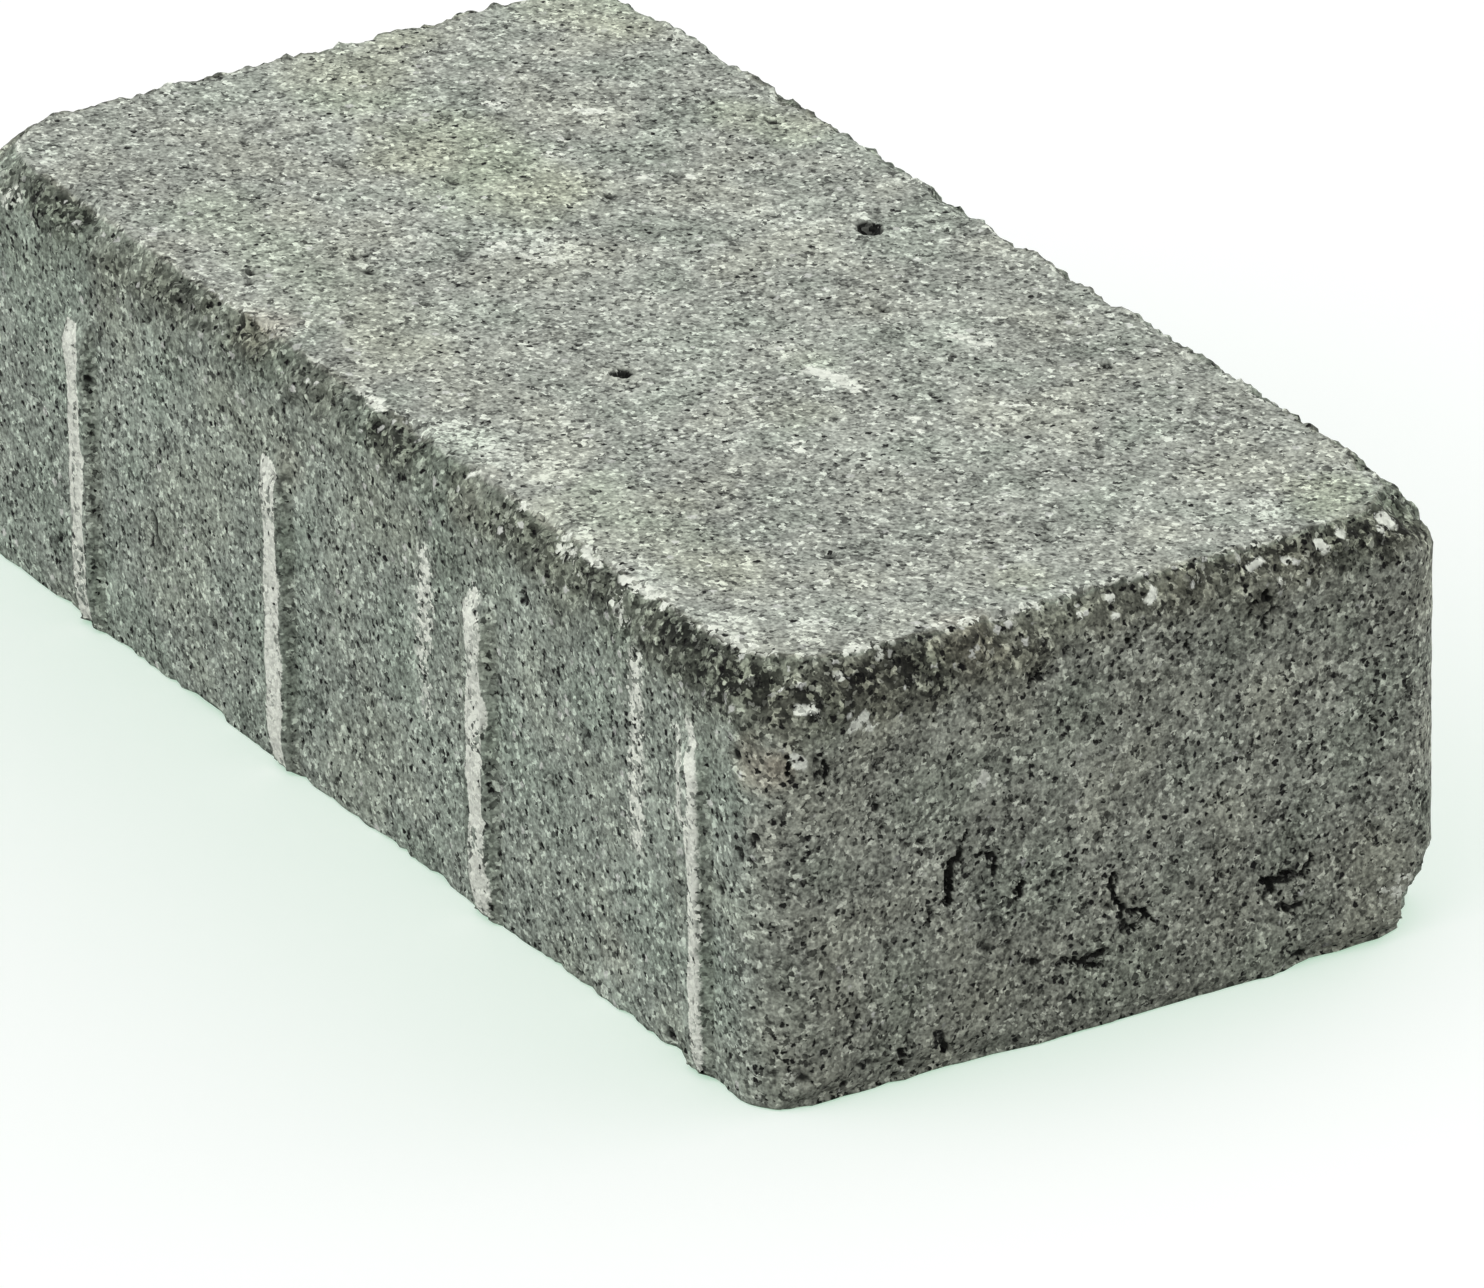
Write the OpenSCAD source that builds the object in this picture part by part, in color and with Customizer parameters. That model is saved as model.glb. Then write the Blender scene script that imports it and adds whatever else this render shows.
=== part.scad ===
// Concrete paving stone: one pressed block with rounded upright corners,
// an eased edge round its wearing face, and spacer ribs down its long sides.
// The origin is in the middle of the bed face, with the length along X.

/* [Stone] */
// Length over the two end faces
stone_l = 200; // [120:1:300]
// Width over the two long sides, without the ribs
stone_w = 98; // [80:1:200]
// Thickness from the bed face to the wearing face
stone_h = 57; // [40:1:100]
// Radius of the four upright corners
corner_r = 8; // [7:0.5:15]

/* [Eased edge] */
// Radius of the arc that eases the edge round the wearing face
edge_r = 7.5; // [6:0.5:20]
// How far down the sides the easing reaches
edge_drop = 6; // [2:0.5:6]

/* [Spacer ribs] */
// How far a rib stands proud of its side
rib_proud = 1.8; // [0.5:0.1:4]
// Width of a rib at its foot, where it meets the side
rib_foot_w = 6.5; // [5:0.5:12]
// Width of the flat crest of a rib
rib_crest_w = 4.5; // [2:0.5:5]
// Distance from the middle of one rib to the next
rib_pitch = 50; // [20:1:80]
// Distance from the rounded corner to the middle of the nearest rib
rib_corner_gap = 8; // [6:0.5:20]
// Distance from the wearing face down to the head of a rib
rib_head_gap = 13; // [8:0.5:25]
// Length over which the head of a rib runs out into the side
rib_runout = 4; // [1:0.5:12]

/* [Hidden] */
$fn = 96;

// Colour of the plain grey concrete
concrete = [0.55, 0.56, 0.54];
// Height at which the easing arc leaves the side, upright there and crisp where it meets the wearing face
edge_z = stone_h - edge_drop;
// Straight lengths between the rounded corners
straight_l = stone_l - 2 * corner_r;
straight_w = stone_w - 2 * corner_r;
// Height of the head of a rib above the bed face
rib_h = stone_h - rib_head_gap;
// Ribs on one long side: as many as fit between the two corners
rib_count = floor((straight_l - 2 * rib_corner_gap) / rib_pitch) + 1;
// Depth to which the root of a rib is bedded in the stone
rib_root = 2;

// Upright section from a middle line out to a side, with the eased edge at its top
module half_section(reach) {
    square([reach, edge_z]);
    if (reach > edge_r)
        translate([0, edge_z])
            square([reach - edge_r, edge_drop]);
    intersection() {
        translate([reach - edge_r, edge_z])
            circle(edge_r);
        translate([0, edge_z])
            square([reach + edge_r, edge_drop]);
    }
}

// Bar with the full section, lying along X
module run(width, length) {
    rotate([90, 0, 90])
        linear_extrude(length, center = true) {
            half_section(width / 2);
            mirror([1, 0])
                half_section(width / 2);
        }
}

// One upright corner, a quarter turn of the section about its own axis
module corner() {
    rotate_extrude(angle = 90)
        half_section(corner_r);
}

// The four corners: a diagonal pair, and the same pair in the mirror
module corners() {
    for (flip = [0, 1], turn = [0, 180])
        mirror([flip, 0, 0])
            rotate(turn)
                translate([straight_l / 2, straight_w / 2, 0])
                    corner();
}

// Plan of a rib on the side that faces -Y, with its root inside the stone
module rib_plan() {
    polygon([
        [-rib_foot_w / 2, rib_root],
        [-rib_foot_w / 2, 0],
        [-rib_crest_w / 2, -rib_proud],
        [rib_crest_w / 2, -rib_proud],
        [rib_foot_w / 2, 0],
        [rib_foot_w / 2, rib_root],
    ]);
}

// Side view of a rib: upright for most of its height, then sloping back to the side
module rib_profile() {
    polygon([
        [-rib_proud, 0],
        [-rib_proud, rib_h - rib_runout],
        [0, rib_h],
        [rib_root, rib_h],
        [rib_root, 0],
    ]);
}

module rib() {
    intersection() {
        linear_extrude(stone_h)
            rib_plan();
        rotate([90, 0, 90])
            linear_extrude(rib_foot_w, center = true)
                rib_profile();
    }
}

// The ribs of the side that faces -Y, counted from the end at +X
module rib_row() {
    for (i = [0 : rib_count - 1])
        translate([straight_l / 2 - rib_corner_gap - i * rib_pitch, -stone_w / 2, 0])
            rib();
}

// The far row of ribs is the near row turned half round, so that neighbours' ribs pass each other
module paving_stone() {
    color(concrete) {
        run(stone_w, straight_l);
        rotate(90)
            run(stone_l, straight_w);
        corners();
        rib_row();
        rotate(180)
            rib_row();
    }
}

paving_stone();
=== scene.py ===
"""Concrete paving stone with a crumbly eased edge and a sandy finish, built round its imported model."""

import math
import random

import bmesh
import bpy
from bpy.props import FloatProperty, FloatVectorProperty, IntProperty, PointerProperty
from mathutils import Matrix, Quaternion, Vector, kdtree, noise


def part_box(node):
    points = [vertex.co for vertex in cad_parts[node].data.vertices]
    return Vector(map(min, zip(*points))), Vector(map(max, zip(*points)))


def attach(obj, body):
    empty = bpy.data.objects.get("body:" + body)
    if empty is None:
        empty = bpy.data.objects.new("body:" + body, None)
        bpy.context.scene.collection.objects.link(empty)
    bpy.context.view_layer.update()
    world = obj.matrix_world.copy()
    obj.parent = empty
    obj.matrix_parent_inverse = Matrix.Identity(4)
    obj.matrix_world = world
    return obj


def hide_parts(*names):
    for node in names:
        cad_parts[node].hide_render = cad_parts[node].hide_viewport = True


bl_info = {
    "name": "Concrete paving stone",
    "version": (1, 0, 0),
    "blender": (4, 5, 0),
    "location": "3D View > Sidebar > Paving",
    "description": "Models a pressed concrete paving stone with its ribs, pits, worn rim and sandy finish",
    "category": "Object",
}

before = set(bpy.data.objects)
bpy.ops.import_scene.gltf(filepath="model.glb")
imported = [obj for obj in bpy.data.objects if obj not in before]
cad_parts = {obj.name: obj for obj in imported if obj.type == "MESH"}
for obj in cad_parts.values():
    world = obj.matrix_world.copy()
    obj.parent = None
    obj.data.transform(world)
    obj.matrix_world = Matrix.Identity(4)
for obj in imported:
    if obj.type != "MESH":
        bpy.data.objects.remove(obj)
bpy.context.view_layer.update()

NODE = "paving_stone"
BODY = "root"
PIECE = "cast_stone"
MM = 0.001
# Closest that two places can be and still count as apart
HAIR = 1e-6

BOX_LOW, BOX_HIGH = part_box(NODE)

# Marks on the sides are given in mm. A mark holds its points, its half width and its depth or strength.
# On the wearing face a point is (x, y), on a long side (x, z) and on an end (y, z).
# Where a list covers several sides, a mark starts with the name of its side.

# Voids that the press left open in the end face
END_VOIDS = [
    ([(-21.8, 28.6), (-23.2, 27.6), (-23.4, 24.2), (-23.8, 22.4)], 1.0, 2.4),
    ([(-19.2, 27.6), (-17.2, 27.0), (-17.2, 24.6)], 0.7, 1.4),
    ([(-21.0, 31.0), (-22.0, 29.6)], 0.6, 0.9),
    ([(-28.0, 30.2), (-26.0, 30.0)], 0.5, 0.7),
    ([(-13.2, 22.6), (-14.0, 20.2)], 0.7, 1.6),
    ([(-15.2, 18.4), (-15.6, 16.6)], 0.6, 0.9),
    ([(-0.6, 20.0), (-0.2, 17.0), (0.8, 15.0), (3.4, 14.0), (4.8, 12.8)], 0.7, 1.7),
    ([(0.6, 14.6), (1.2, 12.6), (3.2, 11.8)], 0.6, 1.2),
    ([(-7.4, 10.2), (-4.6, 9.6), (-2.0, 10.2)], 0.9, 1.8),
    ([(-4.2, 9.4), (-3.4, 8.4)], 1.0, 1.6),
    ([(21.2, 13.6), (23.0, 12.6), (25.0, 13.2)], 1.0, 2.2),
    ([(22.0, 12.2), (22.6, 11.4)], 0.7, 1.4),
    ([(26.2, 12.6), (27.4, 13.0), (28.0, 14.8)], 0.7, 1.6),
    ([(23.4, 9.4), (25.0, 8.6), (27.4, 8.6)], 0.8, 1.4),
    ([(16.0, 28.6), (14.2, 26.4), (15.0, 25.0), (17.0, 25.6)], 0.5, 0.8),
    ([(-38.0, 12.2), (-36.0, 12.6), (-34.4, 12.0)], 0.5, 0.8),
    ([(-38.4, 9.0), (-36.6, 9.8)], 0.6, 0.9),
    ([(-10.0, 20.6), (-8.2, 21.0)], 0.5, 0.8),
    ([(-12.0, 11.2)], 0.9, 0.9),
    ([(-26.6, 22.0), (-24.6, 20.6)], 0.6, 0.8),
    ([(-19.2, 21.4)], 0.8, 0.8),
    ([(-6.6, 23.2)], 0.9, 0.9),
    ([(-41.6, 19.6)], 0.7, 0.7),
    ([(26.4, 21.2)], 0.8, 0.9),
    ([(36.8, 16.4), (37.4, 15.6)], 0.9, 0.7),
    ([(15.0, 15.6)], 1.0, 0.6),
    ([(-34.0, 39.0), (-33.6, 37.2)], 0.8, 1.0),
    ([(-46.6, 46.6), (-46.2, 44.4)], 0.8, 1.4),
    ([(-40.6, 45.6), (-40.4, 43.0)], 0.7, 1.2),
    ([(-50.4, 36.6), (-49.6, 35.8)], 0.8, 0.9),
    ([(-12.0, 49.0), (-9.4, 48.6)], 0.9, 1.0),
    ([(-25.4, 47.0)], 0.9, 0.9),
    ([(21.0, 51.6), (21.8, 50.6)], 1.0, 1.5),
    ([(21.2, 48.6), (21.4, 47.0)], 0.6, 1.0),
    ([(10.4, 49.0), (10.2, 47.4)], 0.7, 0.9),
    ([(1.8, 50.4), (2.4, 48.8)], 0.7, 1.0),
    ([(36.6, 31.0), (37.6, 30.4)], 0.7, 0.9),
    ([(38.6, 40.0)], 0.8, 0.8),
    ([(-15.2, 34.0), (-13.6, 33.0)], 0.6, 0.7),
    ([(-30.4, 4.4), (-30.0, 2.4)], 0.9, 1.6),
    ([(-24.6, 4.4), (-24.2, 2.6)], 0.9, 1.3),
    ([(25.6, 1.8), (27.4, 1.2)], 1.2, 1.3),
    ([(-19.0, 4.0)], 0.9, 0.9),
    ([(-38.0, 1.6)], 1.0, 1.0),
]

# Pits in the wearing face
TOP_PITS = [
    ([(-9.6, 33.4), (-7.8, 32.8)], 3.0, 2.8),
    ([(42.8, 35.2), (44.2, 34.8)], 1.1, 1.1),
    ([(12.2, -16.4), (13.0, -16.0)], 2.0, 1.8),
    ([(70.4, 14.2)], 1.2, 0.9),
    ([(-45.6, 40.6), (-44.0, 40.8)], 1.2, 0.8),
    ([(-64.6, 24.0)], 1.3, 0.6),
    ([(-63.2, -12.2), (-61.8, -12.8)], 1.0, 0.6),
    ([(-76.6, -19.2), (-74.4, -20.0)], 1.0, 0.6),
    ([(-37.6, -25.4), (-36.4, -25.8)], 1.2, 0.6),
    ([(-36.6, -40.8)], 1.3, 0.7),
    ([(-84.6, -32.6)], 1.1, 0.6),
    ([(28.8, 2.0)], 1.1, 0.7),
    ([(-37.4, 21.4), (-36.0, 21.6)], 0.9, 0.5),
    ([(47.4, 40.2)], 0.9, 0.6),
    ([(90.4, -10.8)], 0.9, 0.7),
    ([(79.6, 3.4)], 1.0, 0.7),
    ([(81.0, -2.2)], 0.8, 0.5),
    ([(62.8, 21.0), (66.0, 19.4)], 0.9, 0.5),
    ([(54.6, 17.4)], 1.0, 0.5),
    ([(31.4, 18.6)], 0.9, 0.5),
    ([(-94.6, 22.2)], 1.1, 0.5),
    ([(29.0, -31.2)], 0.8, 0.6),
    ([(4.0, 4.6)], 0.8, 0.5),
]

# Pits in the near long side
NEAR_PITS = [
    ([(96.4, 35.2), (97.2, 35.6)], 0.8, 0.9),
    ([(88.8, 26.6), (90.0, 27.0)], 0.9, 0.9),
    ([(80.2, 25.0)], 0.9, 0.7),
    ([(21.8, 37.0)], 0.9, 0.7),
    ([(44.4, 48.4), (45.0, 47.0)], 0.8, 0.9),
    ([(52.8, 47.6)], 0.8, 0.8),
    ([(93.8, 45.8)], 0.9, 1.0),
    ([(-34.6, 21.4)], 0.9, 0.9),
    ([(-48.4, 22.4), (-48.2, 19.4)], 0.6, 0.6),
    ([(-59.0, 31.0), (-57.8, 31.4)], 0.8, 0.8),
    ([(-6.2, 25.4)], 0.8, 0.7),
    ([(-14.6, 40.6), (-12.6, 41.2)], 0.6, 0.4),
    ([(-7.0, 13.2)], 0.8, 0.7),
    ([(36.0, 13.8)], 0.9, 0.8),
    ([(56.8, 9.8)], 0.7, 0.6),
    ([(-63.2, 36.0)], 0.9, 0.8),
    ([(-79.0, 26.4)], 0.7, 0.6),
    ([(11.0, 50.4)], 0.7, 0.7),
    ([(77.4, 1.8)], 1.3, 1.4),
    ([(86.4, 0.6)], 1.0, 1.0),
    ([(55.0, 1.4)], 1.0, 0.8),
    ([(36.0, 6.0)], 0.8, 0.6),
]

# Edges and corners that have lost a flake, each given on one of the sides that meet there
CHIPS = [
    ("end", [(49.0, 0.0)], 16.0, 4.6),
    ("end", [(40.0, 0.0), (30.0, 0.0)], 7.0, 1.5),
    ("end", [(-44.0, 0.0), (-18.0, 0.0)], 6.0, 1.2),
    ("end", [(27.0, 0.0)], 4.0, 1.2),
    ("end", [(10.0, 0.0), (16.0, 0.0)], 5.0, 0.6),
    ("top", [(84.0, 47.5)], 3.0, 1.1),
    ("top", [(47.0, 48.0), (50.0, 48.0)], 2.4, 0.7),
    ("top", [(-50.0, 48.0)], 3.0, 0.8),
    ("near", [(13.0, 57.0)], 3.6, 0.9),
    ("near", [(43.0, 57.0), (48.0, 57.0)], 3.0, 0.8),
    ("near", [(-73.0, 57.0), (-68.0, 56.5)], 3.4, 0.9),
    ("near", [(-35.0, 57.0)], 2.6, 0.8),
    ("near", [(-24.0, 56.5)], 3.2, 0.9),
    ("near", [(66.0, 57.0)], 3.0, 0.7),
    ("near", [(78.0, 0.0)], 2.6, 1.0),
    ("near", [(22.0, 0.0)], 2.2, 0.6),
    ("near", [(-40.0, 0.0), (-34.0, 0.0)], 2.0, 0.6),
    ("far", [(60.0, 57.0)], 3.0, 0.8),
    ("far", [(-12.0, 57.0), (-6.0, 57.0)], 3.0, 0.7),
    ("far", [(30.0, 0.0)], 3.0, 0.9),
    ("back", [(20.0, 57.0)], 3.0, 0.8),
    ("back", [(-30.0, 0.0)], 3.0, 0.9),
]

# Stretches of the crumbly shoulder under the rim that are dark, partly from damp and partly as painted
# shade in its crumbly relief, and the foot of the end
SHADED = [
    ("near", [(100.0, 53.5), (74.0, 54.5)], 6.5, 1.0),
    ("near", [(73.0, 54.0), (57.0, 55.0)], 5.0, 0.85),
    ("near", [(51.0, 54.6), (35.0, 54.6)], 5.0, 0.85),
    ("near", [(32.0, 52.5)], 6.0, 0.45),
    ("near", [(14.0, 54.8), (8.0, 55.4)], 5.0, 1.0),
    ("near", [(-22.0, 54.8), (-28.5, 55.6)], 4.5, 0.95),
    ("near", [(-36.5, 55.8)], 3.0, 1.0),
    ("near", [(-39.0, 54.8), (-49.0, 54.6)], 4.8, 0.8),
    ("near", [(-64.0, 55.5)], 4.0, 0.55),
    ("near", [(-70.0, 56.0), (-79.0, 55.5)], 4.8, 0.95),
    ("near", [(-4.0, 55.4), (-16.0, 55.2)], 4.5, 0.6),
    ("end", [(-49.0, 53.5), (-26.0, 54.0)], 7.0, 1.0),
    ("end", [(-26.0, 54.0), (-12.0, 54.0)], 5.5, 0.9),
    ("end", [(-10.0, 55.0), (10.0, 55.5)], 4.0, 0.75),
    ("end", [(10.0, 55.5), (40.0, 55.0)], 5.0, 0.9),
    ("end", [(40.0, 55.0), (49.0, 54.0)], 5.5, 1.0),
    ("end", [(20.0, 51.5)], 4.0, 0.7),
    # The foot of the end, darker towards the bottom
    ("end", [(-46.0, 5.0), (46.0, 5.0)], 16.0, 0.18),
    ("far", [(-60.0, 56.0), (-40.0, 56.0)], 5.0, 0.7),
    ("far", [(0.0, 56.0), (30.0, 56.0)], 5.0, 0.6),
    ("far", [(70.0, 55.5), (99.0, 54.5)], 5.5, 0.8),
    ("back", [(-40.0, 55.0), (0.0, 56.0)], 5.5, 0.8),
    ("back", [(16.0, 56.0), (44.0, 55.0)], 5.0, 0.7),
]

# Pale scuffs down the long side, the brightest lengths of the ribs and short streaks on the wearing face
WORN = [
    ("near", [(70.4, 49.0), (70.6, 38.0), (70.0, 30.0), (70.0, 25.0)], 2.4, 0.8),
    ("near", [(20.6, 43.0), (20.0, 34.0), (19.4, 30.5)], 2.6, 0.8),
    ("near", [(19.6, 29.0), (20.0, 22.0)], 1.8, 0.6),
    ("near", [(83.1, 46.0), (84.4, 42.8), (85.8, 40.4), (86.0, 20.0), (86.0, 3.0)], 1.0, 1.2),
    ("near", [(80.2, 43.8), (81.5, 41.6), (82.8, 39.6), (82.8, 34.0)], 1.0, 1.1),
    ("near", [(32.8, 43.6), (33.8, 41.8), (34.8, 40.0)], 1.5, 0.9),
    ("near", [(65.0, 55.0), (67.0, 53.0)], 1.6, 0.5),
    ("near", [(50.5, 55.5), (53.5, 56.0)], 1.4, 0.6),
    ("near", [(-84.0, 54.0), (-86.0, 52.0)], 1.6, 0.6),
    ("near", [(-78.0, 35.0), (-74.0, 35.0)], 1.6, 0.35),
    ("top", [(25.4, 3.6), (28.5, 5.0)], 1.8, 1.5),
    ("top", [(28.5, 5.0), (33.6, 5.1)], 1.2, 1.4),
    ("top", [(25.1, 23.5), (27.0, 24.8)], 1.1, 1.0),
    ("top", [(29.4, 25.1), (30.7, 26.5)], 1.1, 1.1),
    ("top", [(42.2, -9.5), (46.1, -10.2)], 1.1, 1.0),
    ("top", [(46.4, 17.6), (48.1, 20.2)], 1.0, 0.8),
    ("top", [(-61.1, 21.8), (-59.2, 23.6)], 1.5, 1.0),
    ("top", [(-29.5, -9.0), (-29.8, -5.5)], 1.4, 0.8),
    ("top", [(-24.0, -8.0), (-21.0, -5.4)], 1.2, 0.8),
    ("top", [(-51.0, 10.6), (-50.2, 12.0)], 1.2, 0.9),
    ("top", [(-69.5, 12.6), (-68.5, 14.2)], 1.2, 0.8),
    ("top", [(-16.4, -5.0), (-15.5, -3.6)], 1.0, 0.8),
    ("end", [(38.0, 7.2), (42.0, 8.4)], 0.9, 0.8),
    ("end", [(40.0, 6.2), (43.0, 7.0)], 0.8, 0.6),
    ("end", [(32.4, 32.4)], 1.8, 0.4),
    ("end", [(-46.6, 4.6)], 1.4, 0.4),
    ("end", [(-26.6, 27.6)], 1.8, 0.3),
]

# Pale grains that lie open in the end face, on the wearing face and along the rim
PALE_GRAINS = [
    ("end", [(-18.4, 38.2), (-18.8, 36.8)], 0.75, 2.0),
    ("end", [(-45.4, 46.4), (-44.4, 45.8)], 1.1, 1.4),
    ("end", [(-36.6, 49.2), (-35.2, 50.0)], 1.0, 1.3),
    ("end", [(-34.6, 48.6)], 0.9, 1.2),
    ("end", [(-45.0, 52.4), (-44.2, 52.4)], 0.9, 1.3),
    ("end", [(-42.6, 52.2)], 0.9, 1.2),
    ("end", [(-38.0, 55.2)], 0.9, 1.0),
    ("end", [(-31.4, 56.4)], 0.9, 1.1),
    ("end", [(-13.6, 56.9), (-12.6, 57.0)], 0.9, 1.1),
    ("end", [(-9.4, 57.0)], 0.9, 1.1),
    ("end", [(-4.4, 54.9)], 0.8, 1.0),
    ("end", [(0.4, 55.8)], 0.9, 1.3),
    ("end", [(0.3, 53.8)], 0.8, 0.9),
    ("end", [(5.2, 54.5), (6.4, 55.4)], 0.8, 1.5),
    ("end", [(20.0, 55.0), (22.0, 55.6)], 0.8, 1.2),
    ("end", [(25.2, 54.7)], 0.8, 1.1),
    ("end", [(23.4, 52.4)], 0.8, 1.0),
    ("end", [(27.3, 51.7)], 0.8, 1.0),
    ("end", [(30.0, 55.4), (30.6, 54.8)], 1.0, 1.3),
    ("end", [(33.4, 55.7)], 0.9, 1.3),
    ("end", [(40.1, 54.7)], 0.8, 1.3),
    ("end", [(42.4, 55.6), (43.4, 54.8)], 1.1, 1.4),
    ("near", [(2.7, 57.0), (5.1, 57.0)], 1.4, 1.0),
    ("near", [(27.9, 56.6)], 1.1, 1.1),
    ("near", [(39.8, 56.8)], 1.1, 1.0),
    ("near", [(49.5, 57.0)], 1.2, 1.0),
    ("near", [(54.7, 57.0), (57.5, 56.6)], 1.2, 1.1),
    ("near", [(64.0, 56.8), (70.0, 57.0)], 1.2, 1.0),
    ("near", [(73.5, 56.8)], 1.1, 1.0),
    ("top", [(44.5, 6.6)], 1.1, 1.2),
    ("top", [(47.6, 5.4)], 0.9, 1.1),
    ("top", [(-53.8, 15.2)], 1.0, 1.1),
    ("top", [(-38.6, 17.7)], 1.0, 1.2),
    ("top", [(-35.3, 22.7)], 1.0, 1.3),
]

# Pale bloom on the wearing face
BLOOM = [
    ([(25.0, 4.8), (30.0, 4.6)], 3.0, 0.5),
    ([(23.5, 24.5), (28.5, 26.0)], 2.4, 0.5),
    ([(-30.0, -7.0), (-24.0, -3.0)], 5.5, 0.75),
    ([(-61.5, 22.6), (-57.5, 22.4)], 3.0, 0.6),
    ([(16.0, -43.6), (21.0, -42.2)], 3.4, 1.1),
    ([(24.0, -41.4), (34.0, -39.6)], 3.4, 0.5),
    ([(88.0, 28.5), (91.0, 27.5)], 2.0, 0.8),
    ([(-17.0, 27.0), (-13.0, 26.6)], 1.7, 0.7),
    ([(66.0, -13.0)], 1.8, 0.6),
    ([(77.0, -24.4)], 2.0, 0.5),
    ([(-69.4, 13.0)], 2.2, 0.5),
    ([(-84.6, -42.4)], 2.4, 0.8),
    ([(52.0, 23.0)], 1.6, 0.5),
    ([(87.0, -34.5), (92.0, -38.0)], 2.2, 0.6),
    ([(2.0, -21.4)], 2.2, 0.5),
    ([(32.0, -38.0)], 3.0, 0.5),
    ([(11.0, -8.0)], 3.0, 0.4),
    ([(24.4, 13.0)], 1.3, 0.5),
    ([(-43.0, -8.4)], 1.4, 0.5),
    ([(-33.0, -24.0)], 1.4, 0.5),
    ([(52.0, -45.0), (60.0, -45.4)], 2.4, 0.4),
    ([(63.0, -45.2), (71.0, -45.6)], 2.4, 0.4),
    ([(80.0, -44.8), (87.0, -42.6)], 2.6, 0.5),
]

# Buff stains on the wearing face
BUFF = [
    ([(-62.0, 2.0), (-42.0, 3.0)], 13.0, 0.9),
    ([(-90.0, 4.0), (-82.0, 0.0)], 10.0, 0.7),
    ([(-92.0, 38.0), (-84.0, 42.0)], 9.0, 0.7),
    ([(-50.0, 38.0), (-40.0, 42.0)], 6.0, 0.7),
    ([(-96.0, 14.0)], 7.0, 0.6),
    ([(88.0, 38.0), (94.0, 36.0)], 6.0, 0.8),
    ([(44.0, -38.0), (66.0, -36.0)], 9.0, 0.45),
    ([(-60.0, -32.0), (-10.0, -34.0)], 9.0, 0.35),
    ([(36.0, -5.0)], 6.0, 0.4),
    ([(90.0, -7.0)], 5.0, 0.5),
    ([(22.0, 5.0)], 5.0, 0.35),
]

# Reddish brown stains near the rim
BROWN = [
    ("near", [(97.0, 45.5)], 4.5, 0.9),
    ("end", [(-48.5, 45.5)], 3.5, 0.9),
    ("near", [(29.0, 55.0)], 5.0, 0.4),
    ("near", [(-24.0, 57.0)], 6.0, 0.5),
    ("end", [(-20.0, 55.5)], 6.0, 0.45),
    ("near", [(-12.0, 43.0)], 4.0, 0.35),
    ("near", [(65.0, 8.0)], 5.0, 0.3),
]

# Edges of the band scraped pale down each rib of a row, in mm beside the rib's middle, end rib first
RIB_BANDS = [(0.3, 2.3), (-1.6, 2.3), (-1.7, 2.1), (-1.9, 1.5)]

# How ragged the edges of each kind of mark are, and the size of the rags in mm
RAGS = {
    "hollow": (0.35, 0.7),
    "shaded": (0.5, 3.0),
    "worn": (0.4, 1.2),
    "bloom": (0.5, 2.0),
    "buff": (0.5, 8.0),
    "brown": (0.5, 3.0),
    "open": (0.5, 3.0),
}

# How open the texture is on the wearing face, the long sides and the ends
TOP_OPEN = 0.16
SIDE_OPEN = 0.55
END_OPEN = 1.0

# Tint of the wearing face, the long sides and the ends, by how open their texture is: a faint green on the
# sides, with painted shade that leaves the long sides and ends darker than the wearing face
SIDE_TINTS_AND_SHADE = [(0.2, (1.0, 1.0, 1.0)), (SIDE_OPEN, (0.855, 0.914, 0.89)), (END_OPEN, (0.955, 0.955, 0.92))]

# Tints that the cement drifts between, by the value of a slow noise
DRIFT_TINTS = [(0.34, (0.975, 1.015, 0.99)), (0.5, (0.995, 1.0, 1.0)), (0.66, (1.005, 1.0, 0.975))]

# Brightness of the sand grains: a few are dark, a few are light, and most lie near the cement's own
GRAIN_TONES = [(0.0, 0.22), (0.05, 0.3), (0.13, 0.74), (0.87, 1.26), (0.95, 1.9), (1.0, 2.4)]


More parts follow.
